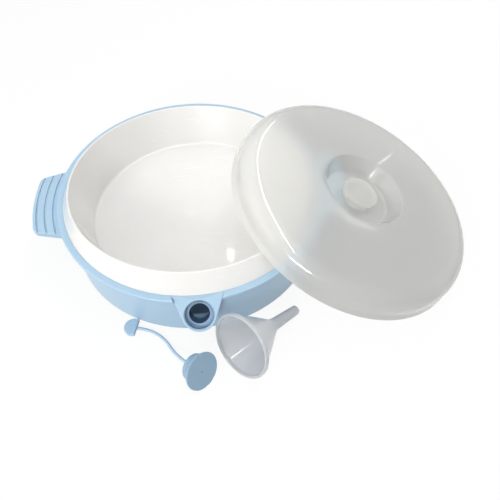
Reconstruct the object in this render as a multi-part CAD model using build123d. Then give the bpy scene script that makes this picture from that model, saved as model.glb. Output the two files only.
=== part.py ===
from build123d import *

import os
from math import asin, atan2, cos, degrees, hypot, pi, radians, sin, sqrt, tan

# A child's hot water plate in plastic, in millimetres, +Z up.
# The origin is the centre of the flat underside. The filler mouth faces -Y and the handles lie on +X and -X.
# The lid leans on the plate at the right, the stopper and the funnel lie on the table in front.

# What lies on the table beside the plate clears it by this
table_gap = 0.05

# Outer shell: a blue bowl with a flat rim
rim_height = 50.0
rim_outer_radius = 110.0
rim_thickness = 3.4
rim_edge_round = 1.2
rim_overhang = 3.4
wall_draft = 1.6
foot_round = 2.0
shell_wall = 2.2
shell_floor = 2.4
shell_inner_round = 5.0
underside_groove_inset = 10.5
underside_groove_width = 3.0
underside_groove_depth = 1.0

# Joint between shell and dish: a ledge inside the rim
rim_width = 5.1
dish_seat_depth = 3.2
ledge_width = 2.5
ledge_height = 2.4
ledge_slope_height = 2.0

# Food dish: a white bowl whose collar rises over the rim, higher at the front
dish_wall = 2.2
dish_crest_wall = 1.1
dish_floor_height = 20.0
dish_wall_lean = 13.5
dish_floor_round = 3.5
crest_front_height = 15.2
crest_back_height = 3.0
collar_lean = 5.2
crest_shift = 4.2
crest_land = 1.3
crest_round = 0.55

# Filler: a round mouth in a sloping shield shaped face under the rim
face_slope = 45.0
face_lip = 0.6
face_start_drop = 1.3
face_half_width = 18.2
face_edge_round = 0.7
mouth_distance = 13.6
mouth_bore_radius = 10.4
mouth_bore_length = 5.0
mouth_chamfer = 0.9
mouth_wall = 2.0
throat_bore_radius = 7.5
throat_wall = 2.0
throat_length = 16.0
boss_depth = 30.0

# Handles: ribbed shelves at both sides of the rim
handle_reach = 22.7
handle_root_half_width = 36.0
handle_tip_half_width = 29.0
handle_corner_round = 9.0
handle_root_depth = 10.0
handle_thickness = 5.4
handle_drop = 2.6
handle_edge_round = 0.8
handle_forward_angle = 1.5
handle_groove_insets = (16.2, 9.6, 3.2)
handle_groove_width = 1.8
handle_groove_depth = 1.1

# Stopper: a conical bung whose nose fits the mouth
stopper_face_radius = 15.0
stopper_face_round = 0.7
stopper_cone_length = 7.0
stopper_shoulder_radius = 10.8
stopper_clearance = 0.2
stopper_nose_length = 3.5
stopper_nose_chamfer = 0.5
stopper_dimple_radius = 0.7
stopper_dimple_floor = 0.2
stopper_dimple_depth = 0.6
stopper_nick_radius = 4.0
stopper_nick_depth = 0.7
stopper_nick_height = 1.5
stopper_nick_angles = (20.0, -12.0)
stopper_x = -1.3
stopper_distance = 36.6
stopper_heading = -43.0

# Strap: a thin round cord moulded between the stopper and its toggle
strap_diameter = 2.4
strap_lead = 7.0

# Toggle: a half moon tab with a rib along its straight edge
toggle_thickness = 2.2
toggle_rib_width = 1.7
toggle_rib_height = 3.6
toggle_half_length = 7.0
toggle_bulge = 8.6
toggle_corner_round = 0.6

# Funnel: a thin cone with a stem, lying on its side
funnel_length = 64.0
funnel_mouth_radius = 25.4
funnel_band_width = 2.6
funnel_band_step = 0.9
funnel_wall = 1.1
funnel_neck_height = 28.5
funnel_neck_radius = 5.0
funnel_neck_blend = 14.0
funnel_tip_radius = 3.9
funnel_x = 26.9
funnel_distance = 25.6
funnel_heading = -142.0

# Lid: a shallow translucent dome with a sunk centre and a knob in it
lid_rim_inset = 0.4
lid_wall = 1.7
lid_side_height = 5.0
lid_side_draft = 1.6
lid_side_lean = 0.2
lid_shoulder_round = 13.0
lid_shoulder_height = 21.4
lid_top_height = 25.0
lid_well_radius = 35.0
lid_well_floor_radius = 28.0
lid_well_floor_height = 11.4
lid_well_floor_round = 2.6
lid_distance = 19.1
lid_y = -24.1
lid_heading = -9.6

# Knob: a waisted button on the floor of the well
knob_top_radius = 15.4
knob_top_height = 19.8
knob_waist_radius = 11.6
knob_base_radius = 13.0
knob_cap_thickness = 3.2
knob_edge_round = 1.2
knob_dish_depth = 0.9

# What the sizes above settle
rim_underside = rim_height - rim_thickness
wall_top_radius = rim_outer_radius - rim_overhang
wall_foot_radius = wall_top_radius - wall_draft
underside_groove_radius = wall_foot_radius - underside_groove_inset
seat_height = rim_height - dish_seat_depth
dish_seat_radius = rim_outer_radius - rim_width
crest_radius = dish_seat_radius - collar_lean
dish_floor_radius = crest_radius - dish_wall_lean
face_start_radius = dish_seat_radius + face_lip
handle_tip_radius = wall_top_radius + handle_reach
lid_rim_radius = dish_seat_radius - lid_rim_inset
lid_x = rim_outer_radius + lid_distance
lid_tilt = degrees(atan2(rim_height + crest_front_height, lid_x / 2 + lid_rim_radius))
stopper_y = -rim_outer_radius - stopper_distance
funnel_y = -rim_outer_radius - funnel_distance
ledge_radius = dish_seat_radius - ledge_width
bung_nose_radius = mouth_bore_radius - stopper_clearance
stopper_length = stopper_cone_length + stopper_nose_length


def revolved(points):
    """A solid of revolution about Z from a closed list of (radius, height) corners."""
    face = make_face(Polyline([(r, 0, z) for r, z in points], close=True))
    return revolve(face, Axis.Z)


def ring(outer, inner, low, high):
    """A plain ring about Z between two heights."""
    disc = Cylinder(outer, high - low, align=(Align.CENTER, Align.CENTER, Align.MIN))
    hole = Cylinder(inner, high - low, align=(Align.CENTER, Align.CENTER, Align.MIN))
    return Pos(0, 0, low) * (disc - hole)


def circle_edges(shape, radius, height, tolerance=0.05):
    """The circular edges about Z with this radius at this height."""
    edges = shape.edges().filter_by(GeomType.CIRCLE)
    return [e for e in edges if abs(e.radius - radius) < tolerance
            and abs(e.arc_center.Z - height) < tolerance and abs(e.arc_center.X) < tolerance
            and abs(e.arc_center.Y) < tolerance]


def shell_outside():
    """The shell's outer form, filled."""
    body = revolved([
        (0, 0), (wall_foot_radius, 0), (wall_top_radius, rim_underside),
        (rim_outer_radius, rim_underside), (rim_outer_radius, rim_height), (0, rim_height),
    ])
    body = fillet(circle_edges(body, wall_foot_radius, 0), foot_round)
    edges = circle_edges(body, rim_outer_radius, rim_height)
    edges += circle_edges(body, rim_outer_radius, rim_underside)
    return fillet(edges, rim_edge_round)


def shell_inside():
    """The space that the shell encloses, with the dish's seat at the top."""
    inner_top = wall_top_radius - shell_wall
    inner_foot = wall_foot_radius - shell_wall
    ledge_bottom = seat_height - ledge_height
    space = revolved([
        (0, shell_floor), (inner_foot, shell_floor), (inner_top, ledge_bottom - ledge_slope_height),
        (ledge_radius, ledge_bottom), (ledge_radius, seat_height), (dish_seat_radius, seat_height),
        (dish_seat_radius, rim_height + 1), (0, rim_height + 1),
    ])
    return fillet(circle_edges(space, inner_foot, shell_floor), shell_inner_round)


def mouth_plane():
    """The plane of the sloping filler face: origin at the mouth's centre, +Z out of it, +Y up the slope."""
    slope = radians(face_slope)
    out = face_start_radius + mouth_distance * cos(slope)
    height = rim_height - face_start_drop - mouth_distance * sin(slope)
    return Plane(origin=(0, -out, height), x_dir=(1, 0, 0), z_dir=(0, -sin(slope), cos(slope)))


def shield_sketch(top):
    """The filler face's outline: straight sides that run on into a round end about the mouth."""
    radius = mouth_bore_radius + mouth_wall
    start = Vector(face_half_width, mouth_distance)
    reach = start.length
    away = degrees(atan2(start.Y, start.X)) - degrees(atan2(sqrt(reach ** 2 - radius ** 2), radius))
    touch = Vector(radius * cos(radians(away)), radius * sin(radians(away)))
    grow = (top - touch.Y) / (start.Y - touch.Y)
    corner = touch + (start - touch) * grow
    right = Line((corner.X, corner.Y), (touch.X, touch.Y))
    bottom = ThreePointArc((touch.X, touch.Y), (0, -radius), (-touch.X, touch.Y))
    left = Line((-touch.X, touch.Y), (-corner.X, corner.Y))
    close = Line((-corner.X, corner.Y), (corner.X, corner.Y))
    return make_face(right + bottom + left + close)


def neck_outside():
    """The filler's neck through the wall, filled, down its own axis."""
    deep = mouth_bore_length + throat_length
    wide = Cylinder(mouth_bore_radius + mouth_wall, mouth_bore_length,
                    align=(Align.CENTER, Align.CENTER, Align.MAX))
    narrow = Cylinder(throat_bore_radius + throat_wall, deep, align=(Align.CENTER, Align.CENTER, Align.MAX))
    return mouth_plane() * (wide + narrow)


def neck_bore():
    """The filler's bore: a wide socket for the stopper, then a throat into the water space."""
    socket = Cylinder(mouth_bore_radius, mouth_bore_length, align=(Align.CENTER, Align.CENTER, Align.MAX))
    deep = mouth_bore_length + throat_length + 1
    throat = Cylinder(throat_bore_radius, deep, align=(Align.CENTER, Align.CENTER, Align.MAX))
    rim = Pos(0, 0, -mouth_chamfer / 2) * Cone(mouth_bore_radius, mouth_bore_radius + mouth_chamfer,
                                               mouth_chamfer)
    return mouth_plane() * (socket + throat + rim)


def make_outer_shell():
    """The shell, open where the dish seats and where the filler's neck goes through."""
    above_face = extrude(mouth_plane() * shield_sketch(mouth_distance + 6), amount=12,
                         dir=mouth_plane().z_dir)
    core = Cylinder(face_start_radius, rim_height + 1, align=(Align.CENTER, Align.CENTER, Align.MIN))
    groove = ring(underside_groove_radius + underside_groove_width / 2,
                  underside_groove_radius - underside_groove_width / 2, 0, underside_groove_depth)
    shell = shell_outside() - shell_inside() - (above_face - core) - neck_outside() - groove
    return shell


def make_filler_spout():
    """The shield shaped boss under the rim with its neck and bore."""
    block = extrude(mouth_plane() * shield_sketch(mouth_distance), amount=-boss_depth,
                    dir=mouth_plane().z_dir)
    front = block.faces().sort_by_distance(mouth_plane().origin + mouth_plane().z_dir)[0]
    rounded = [e for e in front.edges() if e.center().Z < rim_height - 2]
    block = fillet(rounded, face_edge_round)
    boss = block - shell_outside()
    return boss + neck_outside() - neck_bore()


def handle_outline():
    """A handle's plan: an arc at the tip, straight sides that widen to the root."""
    tip_x = sqrt(handle_tip_radius ** 2 - handle_tip_half_width ** 2)
    root_x = sqrt(wall_top_radius ** 2 - handle_root_half_width ** 2)
    inner_x = root_x - handle_root_depth
    tip = ThreePointArc((tip_x, -handle_tip_half_width), (handle_tip_radius, 0),
                        (tip_x, handle_tip_half_width))
    sides = Polyline((tip_x, handle_tip_half_width), (root_x, handle_root_half_width),
                     (inner_x, handle_root_half_width), (inner_x, -handle_root_half_width),
                     (root_x, -handle_root_half_width), (tip_x, -handle_tip_half_width))
    outline = make_face(tip + sides)
    corners = [v for v in outline.vertices() if v.X > root_x + 1]
    return fillet(corners, handle_corner_round)


def make_handle(side):
    """A ribbed shelf handle; side is 1 for the right and -1 for the left."""
    top = rim_height - handle_drop
    plate = Pos(0, 0, top - handle_thickness) * extrude(handle_outline(), handle_thickness)
    edges = [e for e in plate.edges() if e.center().X > wall_top_radius
             and min(abs(e.center().Z - top), abs(e.center().Z - top + handle_thickness)) < 0.01]
    plate = fillet(edges, handle_edge_round)
    for inset in handle_groove_insets:
        radius = handle_tip_radius - inset
        plate -= ring(radius + handle_groove_width / 2, radius - handle_groove_width / 2,
                      top - handle_groove_depth, top + 1)
    plate = Rot(0, 0, -handle_forward_angle) * plate
    if side < 0:
        plate = mirror(plate, Plane.YZ)
    return plate - shell_outside()


def crest_plane(drop=0.0):
    """The sloping plane of the dish's crest, or one drop below it."""
    slope = (crest_front_height - crest_back_height) / (2 * crest_radius)
    middle = rim_height + (crest_front_height + crest_back_height) / 2
    return Plane(origin=(0, crest_shift, middle - drop), x_dir=(1, 0, 0), z_dir=(0, slope, 1))


def oblique(plane, radius, height, lower_radius):
    """A solid whose straight side joins a circle on a sloping plane to a level one under it."""
    upper = plane * Circle(radius)
    lower = Pos(0, 0, height) * Circle(lower_radius)
    return loft([lower, upper], ruled=True)


def dish_cavity():
    """The space for the food."""
    space = oblique(crest_plane(-0.01), crest_radius - crest_land, dish_floor_height, dish_floor_radius)
    bottom = [e for e in space.edges() if abs(e.center().Z - dish_floor_height) < 0.01]
    return fillet(bottom, dish_floor_round)


def dish_bowl():
    """The bowl under the crest, filled."""
    low = dish_floor_height - dish_wall
    body = oblique(crest_plane(dish_wall), crest_radius - crest_land + dish_crest_wall, low,
                   dish_floor_radius + dish_wall)
    bottom = [e for e in body.edges() if abs(e.center().Z - low) < 0.01]
    return fillet(bottom, dish_floor_round + dish_wall)


def make_food_dish():
    """The dish: a seat in the shell's rim, a collar that slopes up to the crest, and the bowl."""
    seat = Pos(0, 0, seat_height) * Cylinder(dish_seat_radius, dish_seat_depth,
                                             align=(Align.CENTER, Align.CENTER, Align.MIN))
    collar = oblique(crest_plane(), crest_radius, rim_height, dish_seat_radius)
    inner_seat = Pos(0, 0, seat_height - 1) * Cylinder(ledge_radius, dish_seat_depth + 1,
                                                       align=(Align.CENTER, Align.CENTER, Align.MIN))
    inner_collar = oblique(crest_plane(dish_wall), crest_radius - dish_wall, rim_height, ledge_radius)
    dish = (seat + collar) - ((inner_seat + inner_collar) - dish_bowl())
    dish = dish + dish_bowl() - dish_cavity()
    crest = [e for e in dish.edges() if e.geom_type == GeomType.CIRCLE
             and crest_radius - crest_land - 0.05 < e.radius < crest_radius + 0.05
             and abs(e.arc_center.Z - crest_plane().origin.Z) < 0.05]
    return fillet(crest, crest_round)


def resting_lift(front, back):
    """How far a lying body of revolution lifts its axis when two of its edges touch the table.

    An edge is (radius, distance behind the front face, round); the radius is its round's centre."""
    fall, run = front[0] - back[0], back[1] - front[1]
    return degrees(atan2(fall, run) + asin((front[2] - back[2]) / hypot(fall, run)))


def laid_down(x, y, heading, front, back):
    """The place of a lying body: its front face's centre over (x, y), that face looking to heading."""
    lift = resting_lift(front, back)
    radius, behind, edge_round = front
    height = radius * cos(radians(lift)) + behind * sin(radians(lift)) + edge_round + table_gap
    return Pos(x, y, height) * Rot(0, 0, heading) * Rot(0, 90 - lift, 0)


def stopper_place():
    """Where the stopper lies; its face's centre is the local origin and +Z looks out of the face."""
    slope = (stopper_face_radius - stopper_shoulder_radius) / stopper_cone_length
    round_centre = stopper_face_radius - stopper_face_round * (slope + sqrt(1 + slope ** 2))
    front = (round_centre, stopper_face_round, stopper_face_round)
    back = (bung_nose_radius, stopper_length - stopper_nose_chamfer, 0)
    return laid_down(stopper_x, stopper_y, stopper_heading, front, back)


def make_stopper_plug():
    """The bung: a wide flat face with a gate dimple, a cone, and the nose that fills the mouth."""
    body = revolved([
        (0, 0), (stopper_face_radius, 0), (stopper_shoulder_radius, -stopper_cone_length),
        (bung_nose_radius, -stopper_cone_length), (bung_nose_radius, -stopper_length), (0, -stopper_length),
    ])
    body = fillet(circle_edges(body, stopper_face_radius, 0), stopper_face_round)
    body = chamfer(circle_edges(body, bung_nose_radius, -stopper_length), stopper_nose_chamfer)
    body -= Pos(0, 0, -stopper_dimple_depth / 2) * Cone(stopper_dimple_floor, stopper_dimple_radius,
                                                        stopper_dimple_depth)
    for angle in stopper_nick_angles:
        reach = stopper_face_radius + stopper_nick_radius - stopper_nick_depth
        body -= Rot(0, 0, angle) * Pos(reach, 0, 0) * Cylinder(stopper_nick_radius, 2 * stopper_nick_height)
    return stopper_place() * body


def strap_points():
    """The strap's route, from the middle of the nose to the toggle's rib, chosen by hand."""
    start = stopper_place() * Pos(0, 0, -stopper_length)
    first = stopper_place() * Pos(0, 0, -stopper_length - strap_lead)
    rest = strap_diameter / 2 + table_gap
    front = -rim_outer_radius
    return [
        start.position, first.position,
        Vector(-21.0, front - 16.6, 3.4), Vector(-24.6, front - 10.6, rest),
        Vector(-28.5, front - 3.8, rest), Vector(-35.0, front + 3.0, rest),
        Vector(-43.0, front + 7.6, rest), Vector(-51.2, front + 10.0, rest),
    ]


def strap_radii(points):
    """Each corner's arc: 0.45 of the shorter run over the tangent of half the turn."""
    radii = []
    for before, here, after in zip(points, points[1:], points[2:]):
        run_in, run_out = here - before, after - here
        half_turn = radians(run_in.get_angle(run_out)) / 2
        radii.append(0.45 * min(run_in.length, run_out.length) / tan(half_turn))
    return radii


def make_stopper_strap():
    """The strap as a tube of straight runs joined by tangent arcs."""
    points = strap_points()
    radii = strap_radii(points)
    path = FilletPolyline(*points, radius=radii)
    section = Plane(origin=points[0], z_dir=points[1] - points[0]) * Circle(strap_diameter / 2)
    tube = sweep(section, path=path)
    area = pi * (strap_diameter / 2) ** 2
    print("strap radii", [round(r, 1) for r in radii], "length", round(path.length, 1),
          "volume over section times length", round(tube.volume / (area * path.length), 4))
    return tube


def make_strap_toggle():
    """The half moon at the strap's end, lying on the table, with a rib along its straight edge."""
    points = strap_points()
    heading = points[-1] - points[-2]
    turn = degrees(atan2(heading.Y, heading.X))
    rib = Pos(toggle_rib_width / 2, 0, 0) * Box(toggle_rib_width, 2 * toggle_half_length, toggle_rib_height,
                                                align=(Align.CENTER, Align.CENTER, Align.MIN))
    rib = fillet(rib.edges().filter_by(Axis.Z), toggle_corner_round)
    leaf = make_face(ThreePointArc((toggle_rib_width / 2, -toggle_half_length),
                                   (toggle_bulge + toggle_rib_width, 0),
                                   (toggle_rib_width / 2, toggle_half_length))
                     + Line((toggle_rib_width / 2, toggle_half_length),
                            (toggle_rib_width / 2, -toggle_half_length)))
    tab = rib + extrude(leaf, toggle_thickness)
    end = points[-1]
    return Pos(end.X, end.Y, table_gap) * Rot(0, 0, turn) * tab


def funnel_place():
    """Where the funnel lies; its mouth's centre is the local origin and +Z looks out of it."""
    front = (funnel_mouth_radius, funnel_band_width, 0)
    back = (funnel_tip_radius, funnel_length, 0)
    return laid_down(funnel_x, funnel_y, funnel_heading, front, back)


def funnel_form(inset):
    """The funnel's form of revolution, filled, with every radius less by inset."""
    neck = funnel_neck_height - funnel_length
    band = -funnel_band_width
    body = revolved([
        (0, -funnel_length), (funnel_tip_radius - inset, -funnel_length),
        (funnel_neck_radius - inset, neck), (funnel_mouth_radius - funnel_band_step - inset, band),
        (funnel_mouth_radius - funnel_band_step - inset, 0), (0, 0),
    ])
    return fillet(circle_edges(body, funnel_neck_radius - inset, neck), funnel_neck_blend)


def make_funnel():
    """The funnel: cone and stem of one wall, with a band round the mouth."""
    band = ring(funnel_mouth_radius, funnel_mouth_radius - funnel_band_step - funnel_wall / 2,
                -funnel_band_width, 0)
    body = funnel_form(0) + band - funnel_form(funnel_wall)
    return funnel_place() * body


def lid_place():
    """Where the lid leans: its rim's centre over (lid_x, lid_y), its lowest edge on the table."""
    height = lid_rim_radius * sin(radians(lid_tilt)) + table_gap
    return Pos(lid_x, lid_y, height) * Rot(0, 0, lid_heading) * Rot(0, lid_tilt, 0)


def lid_form(inset):
    """The lid's form of revolution, filled down to its rim, with the well left out."""
    side_top = lid_rim_radius - lid_side_draft
    shoulder = side_top - lid_side_lean
    body = revolved([
        (0, 0), (lid_rim_radius - inset, 0), (side_top - inset, lid_side_height),
        (shoulder - inset, lid_shoulder_height - inset), (lid_well_radius, lid_top_height - inset),
        (0, lid_top_height - inset),
    ])
    corner = circle_edges(body, shoulder - inset, lid_shoulder_height - inset)
    return fillet(corner, lid_shoulder_round - inset)


def well_form(grow):
    """The well in the lid's middle, filled, larger by grow on every side."""
    top = lid_top_height + 5
    slope = (lid_well_radius - lid_well_floor_radius) / (lid_top_height - lid_well_floor_height)
    well = revolved([
        (0, lid_well_floor_height - grow), (lid_well_floor_radius + grow, lid_well_floor_height - grow),
        (lid_well_radius + grow + slope * (top - lid_top_height), top), (0, top),
    ])
    corner = circle_edges(well, lid_well_floor_radius + grow, lid_well_floor_height - grow)
    return fillet(corner, lid_well_floor_round + grow)


def make_lid():
    """The lid: one wall over the whole form and round the well."""
    body = lid_form(0) - (lid_form(lid_wall) - well_form(lid_wall)) - well_form(0)
    return lid_place() * body


def make_lid_knob():
    """The knob, standing on the floor of the well."""
    cap_low = knob_top_height - knob_cap_thickness
    body = revolved([
        (0, lid_well_floor_height), (knob_base_radius, lid_well_floor_height),
        (knob_waist_radius, cap_low), (knob_top_radius, cap_low), (knob_top_radius, knob_top_height),
        (0, knob_top_height),
    ])
    edges = circle_edges(body, knob_top_radius, cap_low) + circle_edges(body, knob_top_radius, knob_top_height)
    body = fillet(edges, knob_edge_round)
    span = knob_top_radius - 2 * knob_edge_round
    bowl = (span ** 2 + knob_dish_depth ** 2) / (2 * knob_dish_depth)
    body -= Pos(0, 0, knob_top_height + bowl - knob_dish_depth) * Sphere(bowl)
    return lid_place() * body


def make_parts():
    """Every sub-part by the name of its node."""
    return {
        "outer_shell": make_outer_shell(),
        "filler_spout": make_filler_spout(),
        "right_handle": make_handle(1),
        "left_handle": make_handle(-1),
        "food_dish": make_food_dish(),
        "stopper_plug": make_stopper_plug(),
        "stopper_strap": make_stopper_strap(),
        "strap_toggle": make_strap_toggle(),
        "funnel": make_funnel(),
        "lid": make_lid(),
        "lid_knob": make_lid_knob(),
    }


if __name__ == "__main__":
    os.makedirs("parts", exist_ok=True)
    for name, shape in make_parts().items():
        export_step(shape, f"parts/{name}.step")
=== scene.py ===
"""Looks of a child's hot water plate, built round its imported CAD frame.

Every size in this file is in millimetres in the frame's own axes, and meshes are written in metres.
The origin is the middle of the shell's underside, +Z is up and the filler mouth looks towards -Y.
"""

import logging
import math
from dataclasses import dataclass, replace
from enum import Enum

import bmesh
import bpy
import numpy as np
from mathutils import Matrix, Vector

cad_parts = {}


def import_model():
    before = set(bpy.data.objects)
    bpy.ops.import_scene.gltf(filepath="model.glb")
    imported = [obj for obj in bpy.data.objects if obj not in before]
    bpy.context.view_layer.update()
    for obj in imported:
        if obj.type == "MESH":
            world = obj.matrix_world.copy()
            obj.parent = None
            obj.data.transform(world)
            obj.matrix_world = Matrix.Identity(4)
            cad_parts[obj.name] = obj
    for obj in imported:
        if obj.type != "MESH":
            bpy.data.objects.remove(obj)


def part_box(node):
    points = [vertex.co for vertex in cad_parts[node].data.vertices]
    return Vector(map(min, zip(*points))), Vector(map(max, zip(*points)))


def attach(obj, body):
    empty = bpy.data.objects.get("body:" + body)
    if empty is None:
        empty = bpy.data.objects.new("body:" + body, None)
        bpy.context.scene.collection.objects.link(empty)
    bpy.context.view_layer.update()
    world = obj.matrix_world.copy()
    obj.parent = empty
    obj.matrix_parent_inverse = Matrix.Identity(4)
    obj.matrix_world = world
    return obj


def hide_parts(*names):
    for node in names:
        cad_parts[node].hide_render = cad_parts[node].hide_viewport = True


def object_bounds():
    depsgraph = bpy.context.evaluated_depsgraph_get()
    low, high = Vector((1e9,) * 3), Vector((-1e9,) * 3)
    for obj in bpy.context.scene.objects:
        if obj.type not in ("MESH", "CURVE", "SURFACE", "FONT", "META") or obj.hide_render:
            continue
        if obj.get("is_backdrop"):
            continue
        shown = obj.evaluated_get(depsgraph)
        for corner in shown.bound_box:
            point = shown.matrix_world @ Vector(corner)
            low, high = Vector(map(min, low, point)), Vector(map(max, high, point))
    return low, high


LOG = logging.getLogger("hot_water_plate")
MM = 0.001
ROUND_STEPS = 8
TURN_STEPS = 256
SHARP_ANGLE = math.radians(38)


class Body(str, Enum):
    """The CAD bodies that pieces ride on."""

    PLATE = "plate"
    LID = "lid"
    STOPPER = "stopper"
    FUNNEL = "funnel"


class Cut(str, Enum):
    """Ways to combine two closed meshes."""

    REMOVE = "DIFFERENCE"
    JOIN = "UNION"


def linear(red: int, green: int, blue: int) -> tuple[float, float, float, float]:
    """Turn a display colour of 0 to 255 into the linear colour that shaders take.

    Args:
        red: red, 0 to 255.
        green: green, 0 to 255.
        blue: blue, 0 to 255.

    Returns:
        Linear red, green, blue and an alpha of 1.
    """
    shown = np.array([red, green, blue]) / 255
    low, high = shown / 12.92, ((shown + 0.055) / 1.055) ** 2.4
    return (*np.where(shown <= 0.04045, low, high).tolist(), 1.0)


# Shapes as arrays


def unit(vectors: np.ndarray) -> np.ndarray:
    """Scale vectors along the last axis to length 1."""
    return vectors / np.linalg.norm(vectors, axis=-1, keepdims=True)


def rounded(corners: list, radii: list[float], steps: int = ROUND_STEPS) -> np.ndarray:
    """Round the corners of an open profile, for one section or for many at once.

    With h as half the angle between a corner's two runs, its arc touches them radius / tan(h) from the
    corner, and its centre lies radius / sin(h) from the corner along the bisector. Points on the arc are
    an even turn from the first touching point to the second.

    Args:
        corners: one (radius, height) per corner, each a pair or an array of shape (sections, 2).
        radii: one radius per corner, where 0 keeps the corner sharp.
        steps: runs along each arc.

    Returns:
        Array of shape (points, sections, 2).
    """
    sections = max(np.atleast_2d(c).shape[0] for c in corners)
    points = [np.broadcast_to(np.atleast_2d(np.asarray(c, float)), (sections, 2)) for c in corners]
    out = []
    share = np.linspace(0, 1, steps + 1)[:, None, None]
    for index, (point, radius) in enumerate(zip(points, radii)):
        if radius <= 0 or index in (0, len(points) - 1):
            out.append(point[None])
            continue
        back, ahead = unit(points[index - 1] - point), unit(points[index + 1] - point)
        half = np.arccos(np.clip((back * ahead).sum(-1, keepdims=True), -1, 1)) / 2
        centre = point + unit(back + ahead) * radius / np.sin(half)
        first = point + back * radius / np.tan(half) - centre
        last = point + ahead * radius / np.tan(half) - centre
        turn = math.pi - 2 * half
        out.append(centre + (np.sin((1 - share) * turn) * first + np.sin(share * turn) * last) / np.sin(turn))
    return np.concatenate(out)


def turned(profile: np.ndarray, angles: np.ndarray) -> np.ndarray:
    """Carry a profile round +Z: x is radius times cosine, y is radius times sine, z is height.

    Args:
        profile: array of shape (points, sections or 1, 2).
        angles: one angle per section, in radians.

    Returns:
        Array of shape (points, angles, 3).
    """
    radius = np.broadcast_to(profile[..., 0], (len(profile), len(angles)))
    height = np.broadcast_to(profile[..., 1], radius.shape)
    return np.stack([radius * np.cos(angles), radius * np.sin(angles), height], -1)


def full_turn(steps: int = TURN_STEPS) -> np.ndarray:
    """Angles once round, without the repeated last one."""
    return np.linspace(0, 2 * math.pi, steps, endpoint=False)


def grid_faces(rows: int, columns: int, loop_rows: bool) -> np.ndarray:
    """Quads between neighbouring rows and columns of a grid whose columns close into a ring.

    Args:
        rows: count of rows.
        columns: count of columns.
        loop_rows: whether the last row joins the first, as round a wall's closed section.

    Returns:
        Array of shape (faces, 4) of vertex numbers.
    """
    row = np.arange(rows if loop_rows else rows - 1)[:, None]
    column = np.arange(columns)[None, :]
    after, beside = (row + 1) % rows, (column + 1) % columns
    corners = [row * columns + column, row * columns + beside, after * columns + beside,
               after * columns + column]
    return np.stack(np.broadcast_arrays(*corners), -1).reshape(-1, 4)


def resting_place(x: float, y: float, heading: float, front: tuple, back: tuple, gap: float) -> np.ndarray:
    """Matrix that lays a body of revolution on the table, on one edge near each end.

    An edge is (radius, distance behind the front face, round), with the radius of its round's centre. The
    lift is the angle whose tangent is the fall over the run, and the round's share of it.

    Args:
        x: where the front face's centre stands, in plan.
        y: the same along Y.
        heading: where the front face looks in plan, in degrees.
        front: the front edge.
        back: the back edge.
        gap: space over the table.

    Returns:
        4 by 4 matrix from the body's axes, front face at the origin looking to +Z, into the frame.
    """
    fall, run = front[0] - back[0], back[1] - front[1]
    lift = math.atan2(fall, run) + math.asin((front[2] - back[2]) / math.hypot(fall, run))
    height = front[0] * math.cos(lift) + front[1] * math.sin(lift) + front[2] + gap
    return place(x, y, height, heading, 90 - math.degrees(lift))


def place(x: float, y: float, z: float, heading: float, lean: float) -> np.ndarray:
    """Matrix that leans a body from +Z by an angle towards a heading, then moves it.

    Args:
        x: move along X.
        y: move along Y.
        z: move along Z.
        heading: where the body's top leans to in plan, in degrees.
        lean: angle from upright, in degrees.

    Returns:
        4 by 4 matrix.
    """
    c, s = math.cos(math.radians(lean)), math.sin(math.radians(lean))
    a, b = math.cos(math.radians(heading)), math.sin(math.radians(heading))
    tip = np.array([[c, 0, s], [0, 1, 0], [-s, 0, c]])
    swing = np.array([[a, -b, 0], [b, a, 0], [0, 0, 1]])
    out = np.eye(4)
    out[:3, :3] = swing @ tip
    out[:3, 3] = (x, y, z)
    return out


def moved(points: np.ndarray, matrix: np.ndarray) -> np.ndarray:
    """Apply a 4 by 4 matrix to an array of points."""
    return points @ matrix[:3, :3].T + matrix[:3, 3]


# Meshes


def add_object(name: str, points: np.ndarray, faces: list) -> bpy.types.Object:
    """Make an object from points in millimetres, with its doubles merged and its faces outwards.

    Args:
        name: the object's name.
        points: array whose last axis is x, y, z.
        faces: lists of vertex numbers.

    Returns:
        The object, at the origin, in the scene.
    """
    mesh = bpy.data.meshes.new(name)
    mesh.from_pydata((points.reshape(-1, 3) * MM).tolist(), [], faces)
    work = bmesh.new()
    work.from_mesh(mesh)
    bmesh.ops.remove_doubles(work, verts=work.verts, dist=1e-7)
    bmesh.ops.dissolve_degenerate(work, edges=work.edges, dist=1e-7)
    bmesh.ops.recalc_face_normals(work, faces=work.faces)
    work.to_mesh(mesh)
    work.free()
    made = bpy.data.objects.new(name, mesh)
    bpy.context.scene.collection.objects.link(made)
    return made


def turned_object(name: str, profile: np.ndarray, matrix: np.ndarray | None = None, loop: bool = True,
                  angles: np.ndarray | None = None) -> bpy.types.Object:
    """Make a closed body from a profile carried once round.

    Args:
        name: the object's name.
        profile: array of shape (points, sections or 1, 2), a closed wall section or a line from pole to pole.
        matrix: where the body goes.
        loop: whether the profile's end joins its start.
        angles: the angles round, evenly spaced by default.

    Returns:
        The object.
    """
    around = full_turn() if angles is None else angles
    points = turned(profile, around)
    if matrix is not None:
        points = moved(points, matrix)
    return add_object(name, points, grid_faces(len(profile), len(around), loop).tolist())


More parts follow.
